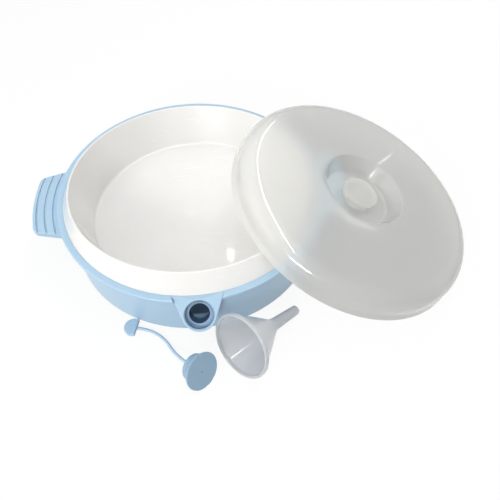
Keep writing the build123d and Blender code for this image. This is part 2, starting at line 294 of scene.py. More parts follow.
def slab_object(name: str, outline: np.ndarray, low: float, high: float, edge: float,
                matrix: np.ndarray | None = None) -> bpy.types.Object:
    """Make a plate from its plan outline, with quarter round edges above and below.

    A ring at height z is the outline moved inwards along its own normals by edge * (1 - cos(t)), where
    sin(t) is how far z has gone into the round. The top and the underside close with one face each.

    Args:
        name: the object's name.
        outline: array of shape (points, 2), counter-clockwise.
        low: height of the underside.
        high: height of the top.
        edge: radius of the rounds.
        matrix: where the plate goes.

    Returns:
        The object.
    """
    ahead, behind = np.roll(outline, -1, 0), np.roll(outline, 1, 0)
    along = unit(unit(ahead - outline) + unit(outline - behind))
    inwards = np.stack([-along[:, 1], along[:, 0]], -1)
    turn = np.linspace(0, math.pi / 2, ROUND_STEPS)
    inset = edge * np.concatenate([1 - np.sin(turn), 1 - np.cos(turn)])
    height = np.concatenate([low + edge * (1 - np.cos(turn)), high - edge * (1 - np.sin(turn))])
    rings = outline[None] + inwards[None] * inset[:, None, None]
    points = np.concatenate([rings, np.broadcast_to(height[:, None, None], (*rings.shape[:2], 1))], -1)
    if matrix is not None:
        points = moved(points, matrix)
    count = len(outline)
    faces = grid_faces(len(points), count, False).tolist()
    last = (len(points) - 1) * count
    faces += [list(range(count))[::-1], list(range(last, last + count))]
    return add_object(name, points, faces)


def combine(target: bpy.types.Object, tool: bpy.types.Object, cut: Cut) -> None:
    """Cut a closed mesh by another, or join them, and remove the other.

    Args:
        target: the object that keeps the result.
        tool: the object that is used up.
        cut: the way to combine them.
    """
    modifier = target.modifiers.new("combine", "BOOLEAN")
    modifier.operation, modifier.solver, modifier.object = cut.value, "EXACT", tool
    bpy.context.view_layer.update()
    shape = target.evaluated_get(bpy.context.evaluated_depsgraph_get())
    mesh = bpy.data.meshes.new_from_object(shape)
    target.modifiers.clear()
    target.data = mesh
    bpy.data.objects.remove(tool)


def finish_piece(piece: bpy.types.Object, material: bpy.types.Material, body: Body, slot: str,
                 *nodes: str) -> bpy.types.Object:
    """Shade, dress and attach one piece, and report it.

    Args:
        piece: the object.
        material: its finish.
        body: the CAD body it rides on.
        slot: not used.
        nodes: the CAD nodes that it stands for.

    Returns:
        The piece.
    """
    piece.data.shade_smooth()
    piece.data.set_sharp_from_angle(angle=SHARP_ANGLE)
    weighted = piece.modifiers.new("even shading", "WEIGHTED_NORMAL")
    weighted.keep_sharp = True
    piece.data.materials.clear()
    piece.data.materials.append(material)
    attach(piece, body.value)
    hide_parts(*nodes)
    LOG.info("%s: %d faces on %s", piece.name, len(piece.data.polygons), body.value)
    return piece


# Finishes


class NodeSheet:
    """Short calls for building a node tree."""

    def __init__(self, tree: bpy.types.NodeTree) -> None:
        """Keep the tree."""
        self.tree = tree

    def add(self, kind: str, **settings: object) -> bpy.types.Node:
        """Add a node with its settings."""
        node = self.tree.nodes.new(kind)
        for name, value in settings.items():
            setattr(node, name, value)
        return node

    def link(self, start: bpy.types.NodeSocket, end: bpy.types.NodeSocket) -> None:
        """Join two sockets."""
        self.tree.links.new(start, end)

    def noise(self, vector: bpy.types.NodeSocket, scale: float, detail: float) -> bpy.types.Node:
        """Add a noise texture over a vector.

        Args:
            vector: where the texture is read.
            scale: cells per metre.
            detail: octaves.

        Returns:
            The noise node.
        """
        node = self.add("ShaderNodeTexNoise")
        node.inputs["Scale"].default_value = scale
        node.inputs["Detail"].default_value = detail
        self.link(vector, node.inputs["Vector"])
        return node

    def ranged(self, value: bpy.types.NodeSocket, low: float, high: float, to_low: float = 0.0,
               to_high: float = 1.0) -> bpy.types.NodeSocket:
        """Map a value from one range to another, held at its ends.

        Args:
            value: the value's socket.
            low: where the range starts.
            high: where it ends.
            to_low: result at the start.
            to_high: result at the end.

        Returns:
            The result's socket.
        """
        node = self.add("ShaderNodeMapRange")
        for name, number in (("From Min", low), ("From Max", high), ("To Min", to_low), ("To Max", to_high)):
            node.inputs[name].default_value = number
        self.link(value, node.inputs["Value"])
        return node.outputs["Result"]

    def maths(self, operation: str, first: bpy.types.NodeSocket,
              second: bpy.types.NodeSocket | float) -> bpy.types.NodeSocket:
        """Combine two values.

        Args:
            operation: the Math node's operation.
            first: the first value's socket.
            second: the second value's socket, or a number.

        Returns:
            The result's socket.
        """
        node = self.add("ShaderNodeMath", operation=operation)
        self.link(first, node.inputs[0])
        if isinstance(second, (int, float)):
            node.inputs[1].default_value = second
        else:
            self.link(second, node.inputs[1])
        return node.outputs[0]


def new_group(name: str, inputs: dict[str, float], outputs: list[str]) -> tuple[bpy.types.NodeTree, NodeSheet]:
    """Start a shader node group with named number sockets.

    Args:
        name: the group's name.
        inputs: each input's name and usual value.
        outputs: the outputs' names.

    Returns:
        The group and a sheet over it.
    """
    group = bpy.data.node_groups.new(name, "ShaderNodeTree")
    for title, value in inputs.items():
        group.interface.new_socket(title, in_out="INPUT", socket_type="NodeSocketFloat").default_value = value
    for title in outputs:
        group.interface.new_socket(title, in_out="OUTPUT", socket_type="NodeSocketFloat")
    return group, NodeSheet(group)


def moulded_surface_group() -> bpy.types.NodeTree:
    """Build the group for a moulded wall: slow waves from cooling, a fine grain and a cloudy flow pattern.

    Returns:
        The group, with the outputs Height and Flow.
    """
    group, sheet = new_group("moulded_surface", {"Grain": 0.3, "Flow Scale": 14.0}, ["Height", "Flow"])
    inward, outward = sheet.add("NodeGroupInput"), sheet.add("NodeGroupOutput")
    where = sheet.add("ShaderNodeTexCoord").outputs["Object"]
    waves = sheet.noise(where, 26.0, 1.0).outputs["Fac"]
    grain = sheet.noise(where, 1900.0, 2.0).outputs["Fac"]
    weighed = sheet.add("ShaderNodeMath", operation="MULTIPLY")
    sheet.link(grain, weighed.inputs[0])
    sheet.link(inward.outputs["Grain"], weighed.inputs[1])
    total = sheet.maths("ADD", waves, weighed.outputs[0])
    sheet.link(total, outward.inputs["Height"])
    flow = sheet.noise(where, 14.0, 3.0)
    sheet.link(inward.outputs["Flow Scale"], flow.inputs["Scale"])
    sheet.link(sheet.ranged(flow.outputs["Fac"], 0.32, 0.68), outward.inputs["Flow"])
    return group


def handling_marks_group() -> bpy.types.NodeTree:
    """Build the group for what handling leaves: hair scratches two ways across, and a few dust specks.

    Returns:
        The group, with the outputs Scratches and Specks.
    """
    group, sheet = new_group("handling_marks", {"Amount": 0.5}, ["Scratches", "Specks"])
    inward, outward = sheet.add("NodeGroupInput"), sheet.add("NodeGroupOutput")
    where = sheet.add("ShaderNodeTexCoord").outputs["Object"]
    lines = []
    for turn in (0.5, -0.9):
        mapping = sheet.add("ShaderNodeMapping")
        mapping.inputs["Rotation"].default_value = (0.35, 0.2, turn)
        mapping.inputs["Scale"].default_value = (1.0, 22.0, 9.0)
        sheet.link(where, mapping.inputs["Vector"])
        streak = sheet.noise(mapping.outputs["Vector"], 42.0, 1.0).outputs["Fac"]
        lines.append(sheet.ranged(streak, 0.665, 0.70))
    crossed = sheet.maths("MAXIMUM", lines[0], lines[1])
    patch = sheet.ranged(sheet.noise(where, 30.0, 1.0).outputs["Fac"], 0.48, 0.62)
    kept = sheet.maths("MULTIPLY", crossed, patch)
    sheet.link(sheet.maths("MULTIPLY", kept, inward.outputs["Amount"]), outward.inputs["Scratches"])
    cells = sheet.add("ShaderNodeTexVoronoi")
    cells.inputs["Scale"].default_value = 210.0
    sheet.link(where, cells.inputs["Vector"])
    dots = sheet.ranged(cells.outputs["Distance"], 0.05, 0.085, 1.0, 0.0)
    sheet.link(sheet.maths("MULTIPLY", dots, inward.outputs["Amount"]), outward.inputs["Specks"])
    return group


@dataclass(frozen=True)
class Plastic:
    """One moulded plastic finish."""

    name: str
    deep: tuple[float, float, float, float]
    pale: tuple[float, float, float, float]
    roughness: float
    roughness_swing: float
    grain: float
    relief: float
    marks: float
    coat: float = 0.0
    coat_roughness: float = 0.1
    transmission: float = 0.0
    ior: float = 1.49
    scatter: float = 0.0
    scatter_depth: float = 0.004
    passing: float = 0.0
    # painted_recess_shade is multiplied into the base colour where ambient occlusion finds a hollow: painted shade in
    # grooves, seams and bores; white paints none.
    painted_recess_shade: tuple[float, float, float, float] = (1.0, 1.0, 1.0, 1.0)

    def material(self, surface: bpy.types.NodeTree, handling: bpy.types.NodeTree) -> bpy.types.Material:
        """Build the material.

        Args:
            surface: the moulded surface group.
            handling: the handling marks group.

        Returns:
            The material.
        """
        material = bpy.data.materials.new(self.name)
        material.use_nodes = True
        sheet = NodeSheet(material.node_tree)
        shader = material.node_tree.nodes["Principled BSDF"]
        skin = sheet.add("ShaderNodeGroup", node_tree=surface)
        skin.inputs["Grain"].default_value = self.grain
        wear = sheet.add("ShaderNodeGroup", node_tree=handling)
        wear.inputs["Amount"].default_value = self.marks
        colour = sheet.add("ShaderNodeMix", data_type="RGBA")
        colour.inputs["A"].default_value = self.deep
        colour.inputs["B"].default_value = self.pale
        sheet.link(skin.outputs["Flow"], colour.inputs["Factor"])
        # Painted shade: within 25 mm the ambient occlusion darkens the base colour towards the recess shade colour in
        # hollows, creases and bores.
        shaded = sheet.add("ShaderNodeMix", data_type="RGBA", blend_type="MULTIPLY")
        sheet.link(colour.outputs["Result"], shaded.inputs["A"])
        shaded.inputs["B"].default_value = self.painted_recess_shade
        corner = sheet.add("ShaderNodeAmbientOcclusion", samples=4, only_local=True)
        corner.inputs["Distance"].default_value = 25 * MM
        sheet.link(sheet.ranged(corner.outputs["AO"], 0.3, 0.8, 1.0, 0.0), shaded.inputs["Factor"])
        sheet.link(shaded.outputs["Result"], shader.inputs["Base Color"])
        lowest, highest = self.roughness - self.roughness_swing, self.roughness + self.roughness_swing
        gloss = sheet.ranged(skin.outputs["Flow"], 0.0, 1.0, lowest, highest)
        dulled = sheet.maths("MULTIPLY", wear.outputs["Scratches"], 0.25)
        dusted = sheet.maths("MULTIPLY", wear.outputs["Specks"], 0.3)
        sheet.link(sheet.maths("ADD", sheet.maths("ADD", gloss, dulled), dusted), shader.inputs["Roughness"])
        bump = sheet.add("ShaderNodeBump")
        bump.inputs["Distance"].default_value = self.relief * MM
        bump.inputs["Strength"].default_value = 0.6
        scored = sheet.maths("SUBTRACT", skin.outputs["Height"], sheet.maths("MULTIPLY", wear.outputs["Scratches"], 0.3))
        sheet.link(scored, bump.inputs["Height"])
        sheet.link(bump.outputs["Normal"], shader.inputs["Normal"])
        for socket, value in (("IOR", self.ior), ("Coat Weight", self.coat), ("Coat Roughness", self.coat_roughness),
                              ("Transmission Weight", self.transmission), ("Subsurface Weight", self.scatter),
                              ("Subsurface Scale", self.scatter_depth)):
            shader.inputs[socket].default_value = value
        if self.passing:
            self.let_light_through(sheet, shader, material.node_tree.nodes["Material Output"])
        return material

    def let_light_through(self, sheet: NodeSheet, shader: bpy.types.Node, out: bpy.types.Node) -> None:
        """Let a share of the light through to what lies behind, as a milky wall of little thickness does.

        Args:
            sheet: the material's nodes.
            shader: the wall's shader.
            out: the material's output.
        """
        path = sheet.add("ShaderNodeLightPath")
        lighting = sheet.maths("MAXIMUM", path.outputs["Is Shadow Ray"], path.outputs["Is Diffuse Ray"])
        clear = sheet.add("ShaderNodeBsdfTransparent")
        clear.inputs["Color"].default_value = self.pale
        mix = sheet.add("ShaderNodeMixShader")
        sheet.link(sheet.maths("MULTIPLY", lighting, self.passing), mix.inputs["Fac"])
        sheet.link(shader.outputs["BSDF"], mix.inputs[1])
        sheet.link(clear.outputs["BSDF"], mix.inputs[2])
        sheet.link(mix.outputs["Shader"], out.inputs["Surface"])


# The blue and the soft finish paint a grey blue shade into their hollows.
BLUE = Plastic("pale_blue_polypropylene", linear(166, 197, 220), linear(173, 203, 225), 0.36, 0.04, 0.25, 0.05, 0.35,
               coat=0.15, coat_roughness=0.12, scatter=0.12, passing=0.3, painted_recess_shade=(0.5, 0.55, 0.6, 1.0))
WHITE = Plastic("white_melamine", linear(235, 233, 230), linear(240, 239, 236), 0.22, 0.03, 0.08, 0.03, 0.3,
                coat=1.0, coat_roughness=0.05, scatter=0.08, passing=0.2)
# The stopper's one moulding gets two tones: this darker one for the bung and a lighter copy for the strap and toggle;
# the difference between them is painted light and shade.
SOFT = Plastic("soft_blue_elastomer", linear(143, 173, 196), linear(150, 180, 203), 0.5, 0.05, 0.5, 0.06, 0.3,
               coat=0.1, coat_roughness=0.25, scatter=0.15, painted_recess_shade=(0.5, 0.55, 0.6, 1.0))
LID_MILKY = Plastic("milky_lid_plastic", linear(241, 241, 239), linear(245, 245, 243), 0.62, 0.03, 0.05, 0.015, 0.0,
                    coat=1.0, coat_roughness=0.05, transmission=0.76, ior=1.2, passing=0.85)
FUNNEL_MILKY = Plastic("milky_funnel_plastic", linear(235, 237, 240), linear(240, 242, 244), 0.4, 0.03, 0.05, 0.01,
                       0.0, coat=1.0, coat_roughness=0.03, transmission=0.66, ior=1.08, passing=0.8)


class Finishes:
    """All the object's materials, made once."""

    def __init__(self) -> None:
        """Build the groups and the materials."""
        surface, handling = moulded_surface_group(), handling_marks_group()
        self.blue = BLUE.material(surface, handling)
        # This copy of the blue paints a deep blue shade into the filler's mouth, socket and throat.
        self.filler = replace(BLUE, name="pale_blue_filler_painted_bore_shade", painted_recess_shade=(0.05, 0.15, 0.31, 1.0)).material(surface, handling)
        self.white = WHITE.material(surface, handling)
        self.soft = SOFT.material(surface, handling)
        # Lighter copy of the soft finish for the strap and toggle: painted light on the same moulding as the darker
        # bung, making up for the shade near the shell.
        self.soft_painted_lighter = replace(SOFT, name="soft_blue_painted_lighter", deep=BLUE.pale, pale=BLUE.pale,
                            painted_recess_shade=WHITE.painted_recess_shade).material(surface, handling)
        self.lid = LID_MILKY.material(surface, handling)
        self.funnel = FUNNEL_MILKY.material(surface, handling)


# The plate


@dataclass
class Shell:
    """The blue shell with its rim, and the filler boss and handles moulded on it."""

    rim_radius: float
    rim_height: float
    rim_thickness: float = 3.4
    rim_round: float = 1.2
    rim_overhang: float = 3.4
    rim_width: float = 5.1
    wall_draft: float = 1.6
    foot_round: float = 2.0
    wall: float = 2.2
    floor: float = 2.4
    inner_round: float = 5.0
    seat_depth: float = 3.2
    ledge_width: float = 2.5
    ledge_height: float = 2.4
    ledge_slope: float = 2.0
    groove_inset: float = 10.5
    groove_width: float = 3.0
    groove_depth: float = 1.0
    face_lip: float = 0.6
    face_drop: float = 1.3
    face_half_width: float = 18.2
    face_round: float = 0.7
    mouth_distance: float = 13.6
    mouth_radius: float = 10.4
    mouth_round: float = 0.9
    mouth_wall: float = 2.0
    socket_depth: float = 5.0
    throat_radius: float = 7.5
    throat_wall: float = 2.0
    throat_length: float = 16.0
    boss_depth: float = 25.0
    handle_reach: float = 22.7
    handle_root_half: float = 36.0
    handle_tip_half: float = 29.0
    handle_corner: float = 9.0
    handle_thickness: float = 5.4
    handle_drop: float = 2.6
    handle_edge: float = 0.9
    handle_forward: float = 1.5
    handle_groove_insets: tuple[float, ...] = (16.2, 9.6, 3.2)
    handle_groove_width: float = 1.7
    handle_groove_depth: float = 0.75
    handle_groove_round: float = 0.3
    buried: float = 0.7

    @property
    def wall_radius(self) -> float:
        """Outer radius of the wall under the rim."""
        return self.rim_radius - self.rim_overhang

    @property
    def foot_radius(self) -> float:
        """Outer radius of the wall at the foot."""
        return self.wall_radius - self.wall_draft

    @property
    def seat_radius(self) -> float:
        """Radius of the step that holds the dish."""
        return self.rim_radius - self.rim_width

    def section(self) -> np.ndarray:
        """Outline the wall from the middle of the underside, up and over the rim, to the inner floor.

        Returns:
            Rounded profile.
        """
        groove, half = self.foot_radius - self.groove_inset, self.groove_width / 2
        under, seat = self.rim_height - self.rim_thickness, self.rim_height - self.seat_depth
        ledge, low = self.seat_radius - self.ledge_width, seat - self.ledge_height
        corners = [
            ((0, 0), 0), ((groove - half, 0), 0.3), ((groove - half, self.groove_depth), 0.2),
            ((groove + half, self.groove_depth), 0.2), ((groove + half, 0), 0.3),
            ((self.foot_radius, 0), self.foot_round), ((self.wall_radius, under), 0.6),
            ((self.rim_radius, under), self.rim_round), ((self.rim_radius, self.rim_height), self.rim_round),
            ((self.seat_radius, self.rim_height), 0.25), ((self.seat_radius, seat), 0),
            ((ledge, seat), 0.3), ((ledge, low), 0.3),
            ((self.wall_radius - self.wall, low - self.ledge_slope), 1.0),
            ((self.foot_radius - self.wall, self.floor), self.inner_round), ((0, self.floor), 0),
        ]
        return rounded([c for c, _ in corners], [r for _, r in corners])

    def mouth_place(self) -> np.ndarray:
        """Matrix of the sloping face: origin at the mouth's centre, +Z out of it, +Y up the slope."""
        down = math.sqrt(0.5)
        out = np.eye(4)
        out[:3, 0] = (1, 0, 0)
        out[:3, 1] = (0, down, down)
        out[:3, 2] = (0, -down, down)
        reach = self.seat_radius + self.face_lip + self.mouth_distance * down
        out[:3, 3] = (0, -reach, self.rim_height - self.face_drop - self.mouth_distance * down)
        return out

    def shield(self, top: float, grow: float = 0.0) -> np.ndarray:
        """Outline the boss's face: a round end about the mouth with tangent sides that widen to the rim.

        Args:
            top: distance of the top edge from the mouth's centre.
            grow: added to the outline on the sides and the end.

        Returns:
            Array of shape (points, 2), counter-clockwise.
        """
        radius = self.mouth_radius + self.mouth_wall
        reach = math.hypot(self.face_half_width, self.mouth_distance)
        away = math.atan2(self.mouth_distance, self.face_half_width) - math.acos(radius / reach)
        end = radius + grow
        arc = np.linspace(math.pi - away, 2 * math.pi + away, 49)
        round_end = np.stack([np.cos(arc), np.sin(arc)], -1) * end
        slope = math.tan(math.pi / 2 + away)
        width = round_end[-1, 0] + (top - round_end[-1, 1]) / slope
        side = np.linspace(0, 1, 12)[1:, None]
        right = round_end[-1] + (np.array([width, top]) - round_end[-1]) * side
        across = np.linspace(width, -width, 30)[1:-1]
        edge = np.stack([across, np.full(len(across), top)], -1)
        left = (right * (-1, 1))[::-1]
        return np.concatenate([round_end, right, edge, left])

    def handle_outline(self) -> np.ndarray:
        """Outline a handle in plan: an arc at the tip, straight sides that widen to the root.

        Returns:
            Array of shape (points, 2), counter-clockwise.
        """
        tip = self.wall_radius + self.handle_reach
        tip_x = math.sqrt(tip ** 2 - self.handle_tip_half ** 2)
        root_x = math.sqrt(self.wall_radius ** 2 - self.handle_root_half ** 2)
        inner = root_x - 4
        bow = math.asin((self.handle_tip_half - self.handle_corner) / tip)
        arc = np.linspace(-bow, bow, 41)
        front = np.stack([np.cos(arc), np.sin(arc)], -1) * tip
        corner = rounded([(inner, self.handle_root_half), (root_x, self.handle_root_half),
                          (tip_x + 0.6, self.handle_tip_half), tuple(front[-1])],
                         [0, 3.0, self.handle_corner * 0.78, 0], 14)[:, 0]
        upper = corner[::-1]
        lower = corner * (1, -1)
        return np.concatenate([lower, front[1:-1], upper])

    def build_shell(self, finishes: Finishes) -> None:
        """Turn the shell, then cut away the rim over the boss and the hole for the filler's neck.

        Args:
            finishes: the materials.
        """
        body = turned_object("outer_shell_body", self.section(), loop=False)
        above = slab_object("above", self.shield(self.mouth_distance + 2.6, -0.05), -0.2, 12, 0.05, self.mouth_place())
        top, foot = self.seat_radius + self.face_lip / 2, self.seat_radius + self.face_lip + self.face_drop / 2
        core = turned_object("core", rounded([(0, 0), (foot, 0), (foot, self.rim_height - self.face_drop - 0.2),
                                              (top, self.rim_height), (top, 60), (0, 60)], [0, 0, 0.5, 0, 0, 0]),
                             loop=False)
        combine(above, core, Cut.REMOVE)
        combine(body, above, Cut.REMOVE)
        combine(body, self.neck("neck_hole", 1.0, self.mouth_wall / 2), Cut.REMOVE)
        finish_piece(body, finishes.blue, Body.PLATE, "blue_shell", "outer_shell")

    def neck(self, name: str, top: float, less: float) -> bpy.types.Object:
        """Make the filler's neck, filled: a wide socket, then a narrower throat.

        Args:
            name: the object's name.
            top: where it starts, over the boss's face.
            less: taken off the radii.

        Returns:
            The object.
        """
        wide, narrow = self.mouth_radius + self.mouth_wall - less, self.throat_radius + self.throat_wall - less
        deep = self.socket_depth + self.throat_length
        line = rounded([(0, top), (wide, top), (wide, -self.socket_depth), (narrow, -self.socket_depth),
                        (narrow, -deep), (0, -deep)], [0] * 6)
        return turned_object(name, line, self.mouth_place(), False, full_turn(90))

    def build_boss(self, finishes: Finishes) -> None:
        """Make the shield shaped boss, join the neck to it, and bore the mouth with a rounded lip.

        Args:
            finishes: the materials.
        """
        boss = slab_object("filler_boss", self.shield(self.mouth_distance + self.face_lip + 2 * self.face_round),
                           -self.boss_depth, 0, self.face_round, self.mouth_place())
        under = self.rim_height - self.rim_thickness
        inside = [(0, -5), (self.foot_radius - self.buried, -5), (self.wall_radius - self.buried, under),
                  (self.seat_radius + 0.2, under + 0.2), (self.seat_radius + 0.2, 60), (0, 60)]
        inner = turned_object("inner", rounded(inside, [0] * len(inside)), loop=False)
        combine(boss, inner, Cut.REMOVE)
        combine(boss, self.neck("neck", -2 * self.face_round, 0.1), Cut.JOIN)
        deep = self.socket_depth + self.throat_length + 1
        lip = self.mouth_radius + self.mouth_round
        line = rounded([(0, 1), (lip, 1), (lip, 0), (self.mouth_radius, -self.mouth_round),
                        (self.mouth_radius, -self.socket_depth), (self.throat_radius, -self.socket_depth),
                        (self.throat_radius, -deep), (0, -deep)], [0, 0, 0.25, 0.9, 0.8, 0.5, 0, 0])
        combine(boss, turned_object("bore", line, self.mouth_place(), False, full_turn(128)), Cut.REMOVE)
        finish_piece(boss, finishes.filler, Body.PLATE, "blue_shell", "filler_spout")

    def build_handle(self, side: int, finishes: Finishes) -> None:
        """Make one ribbed shelf handle with round bottomed grooves along its arc.

        Args:
            side: 1 for the right handle and -1 for the left.
            finishes: the materials.
        """
        word = "right" if side > 0 else "left"
        top = self.rim_height - self.handle_drop
        turn = place(0, 0, 0, -self.handle_forward, 0)
        handle = slab_object(f"{word}_handle_shelf", self.handle_outline(), top - self.handle_thickness, top,
                             self.handle_edge)
        for inset in self.handle_groove_insets:
            radius, half = self.wall_radius + self.handle_reach - inset, self.handle_groove_width / 2
            low, soft = top - self.handle_groove_depth, self.handle_groove_round
            line = rounded([(radius - half - 0.1, top + 1), (radius - half, top), (radius - half / 2, low),
                            (radius + half / 2, low), (radius + half, top), (radius + half + 0.1, top + 1)],
                           [0, soft, soft, soft, soft, 0])
            combine(handle, turned_object("groove", line), Cut.REMOVE)
        points = np.empty(len(handle.data.vertices) * 3)
        handle.data.vertices.foreach_get("co", points)
        points = moved(points.reshape(-1, 3), turn) * (side, 1, 1)
        handle.data.vertices.foreach_set("co", points.ravel())
        if side < 0:
            handle.data.flip_normals()
        finish_piece(handle, finishes.blue, Body.PLATE, "blue_shell", f"{word}_handle")

    def build(self, finishes: Finishes) -> None:
        """Build everything that is blue and rigid."""
        self.build_shell(finishes)
        self.build_boss(finishes)
        self.build_handle(1, finishes)
        self.build_handle(-1, finishes)


@dataclass
class Dish:
    """The white dish, whose collar rises over the rim and is higher at the front."""

    shell: Shell
    wall: float = 2.2
    crest_wall: float = 1.1
    floor_height: float = 20.0
    floor_round: float = 3.5
    front_rise: float = 15.2
    back_rise: float = 2.0
    collar_lean: float = 5.2
    wall_lean: float = 13.5
    crest_shift: float = 4.2
    crest_land: float = 1.3
    crest_round: float = 0.55

    def crest(self, radius: float, drop: float, angles: np.ndarray) -> np.ndarray:
        """Points of a circle on the crest's sloping plane, as seen in each upright section.

        The circle's centre is shifted along Y, so its distance from the axis at angle a is
        shift sin(a) + sqrt(radius^2 - shift^2 cos(a)^2), and its height falls with y along the plane.

        Args:
            radius: the circle's radius.
            drop: how far under the crest the plane lies.
            angles: the sections' angles.

        Returns:
            Array of shape (sections, 2) of distance and height.
        """
        crest_radius = self.shell.seat_radius - self.collar_lean
        slope = (self.front_rise - self.back_rise) / (2 * crest_radius)
        middle = self.shell.rim_height + (self.front_rise + self.back_rise) / 2 - drop
        away = self.crest_shift * np.sin(angles) + np.sqrt(radius ** 2 - (self.crest_shift * np.cos(angles)) ** 2)
        return np.stack([away, middle - slope * (away * np.sin(angles) - self.crest_shift)], -1)

    def section(self, angles: np.ndarray) -> np.ndarray:
        """Outline the dish's wall in each section, from the middle of the floor over the crest and back.

        Args:
            angles: the sections' angles.

        Returns:
            Rounded profiles of shape (points, sections, 2).
        """
        crest_radius = self.shell.seat_radius - self.collar_lean
        floor_radius = crest_radius - self.wall_lean
        seat = self.shell.rim_height - self.shell.seat_depth
        ledge = self.shell.seat_radius - self.shell.ledge_width
        inner = self.crest(crest_radius - self.crest_land, 0.0, angles)
        outer = self.crest(crest_radius, 0.0, angles)
        bowl = self.crest(crest_radius - self.crest_land + self.crest_wall, self.wall, angles)
        low = self.floor_height - self.wall
        start = np.array([floor_radius + self.wall, low])
        foot = np.array([ledge, seat])
        lean = self.crest(crest_radius - self.wall, self.wall, angles)
        first, second = bowl - start, lean - foot
        gap = foot - start
        share = (gap[1] * second[:, 0] - gap[0] * second[:, 1]) / (
            first[:, 1] * second[:, 0] - first[:, 0] * second[:, 1])
        meet = start + first * share[:, None]
        corners = [
            ((0, self.floor_height), 0), ((floor_radius, self.floor_height), self.floor_round),
            (inner, self.crest_round), (outer, self.crest_round),
            ((self.shell.seat_radius - 0.05, self.shell.rim_height), 0.3), ((self.shell.seat_radius - 0.05, seat), 0),
            ((ledge, seat), 0), (meet, 0.15), (start, self.floor_round + self.wall), ((0, low), 0),
        ]
        return rounded([c for c, _ in corners], [r for _, r in corners], 12)

    def build(self, finishes: Finishes) -> None:
        """Carry the sections round and dress the dish in white."""
        angles = full_turn()
        dish = turned_object("food_dish_bowl", self.section(angles), loop=False, angles=angles)
        finish_piece(dish, finishes.white, Body.PLATE, "white_dish", "food_dish")


# What lies beside the plate


@dataclass
class Lid:
    """The leaning lid with its sunk middle and knob."""

    shell: Shell
    rim_inset: float = 0.4
    wall: float = 1.7
    side_height: float = 5.0
    side_draft: float = 1.6
    side_lean: float = 0.2
    shoulder_round: float = 13.0
    shoulder_height: float = 21.4
    top_height: float = 25.0
    well_radius: float = 35.0
    well_floor_radius: float = 28.0
    well_floor_height: float = 11.4
    well_edge: float = 1.2
    well_floor_round: float = 2.6
    distance: float = 19.1
    y: float = -24.1
    heading: float = -9.6
    dish_front_rise: float = 15.2
    table_gap: float = 0.05
    knob_top_radius: float = 15.4
    knob_top_height: float = 19.8
    knob_waist_radius: float = 11.6
    knob_base_radius: float = 13.0
    knob_cap: float = 3.2
    knob_edge: float = 1.2
    knob_dish: float = 0.9

    def place(self) -> np.ndarray:
        """Matrix of the lid, whose rim's lowest point is on the table."""
        radius = self.shell.seat_radius - self.rim_inset
        x = self.shell.rim_radius + self.distance
        tilt = math.atan2(self.shell.rim_height + self.dish_front_rise, x / 2 + radius)
        height = radius * math.sin(tilt) + self.table_gap
        return place(x, self.y, height, self.heading, math.degrees(tilt))

    def line(self, inset: float) -> tuple[list, list[float]]:
        """Corners of the lid's form from the rim to the middle, moved into the wall by an inset.

        Args:
            inset: 0 for the outside and the wall's thickness for the inside.

        Returns:
            The corners and their radii.
        """
        rim = self.shell.seat_radius - self.rim_inset - inset
        side = rim - self.side_draft
        corners = [
            ((rim, 0), 0.4), ((side, self.side_height), 2.0),
            ((side - self.side_lean, self.shoulder_height - inset), self.shoulder_round - inset),
            ((self.well_radius + inset, self.top_height - inset), self.well_edge),
            ((self.well_floor_radius + inset, self.well_floor_height - inset), self.well_floor_round + inset),
            ((0, self.well_floor_height - inset), 0),
        ]
        return [c for c, _ in corners], [r for _, r in corners]

    def build(self, finishes: Finishes) -> None:
        """Make the lid's wall and the knob that stands in its well."""
        outside, outside_round = self.line(0.0)
        inside, inside_round = self.line(self.wall)
        line = rounded([*outside[::-1], *inside], [*outside_round[::-1], *inside_round])
        lid = turned_object("lid_dome", line, self.place(), loop=False)
        finish_piece(lid, finishes.lid, Body.LID, "clear_lid", "lid")
        floor, cap = self.well_floor_height, self.knob_top_height - self.knob_cap
        span = self.knob_top_radius - 2 * self.knob_edge
        bowl = np.linspace(span, 0, 12)
        depth = self.knob_top_height - self.knob_dish * (1 - (bowl / span) ** 2)
        stem = rounded([(0, floor - 0.4), (self.knob_base_radius, floor - 0.4), (self.knob_waist_radius, cap),
                        (self.knob_top_radius, cap), (self.knob_top_radius, self.knob_top_height),
                        (span, self.knob_top_height)], [0, 0, 1.0, self.knob_edge, self.knob_edge, 0])
        top = np.stack([bowl[1:], depth[1:]], -1)[:, None]
        knob = turned_object("lid_knob_button", np.concatenate([stem, top]), self.place(), loop=False)
        finish_piece(knob, finishes.lid, Body.LID, "clear_lid", "lid_knob")


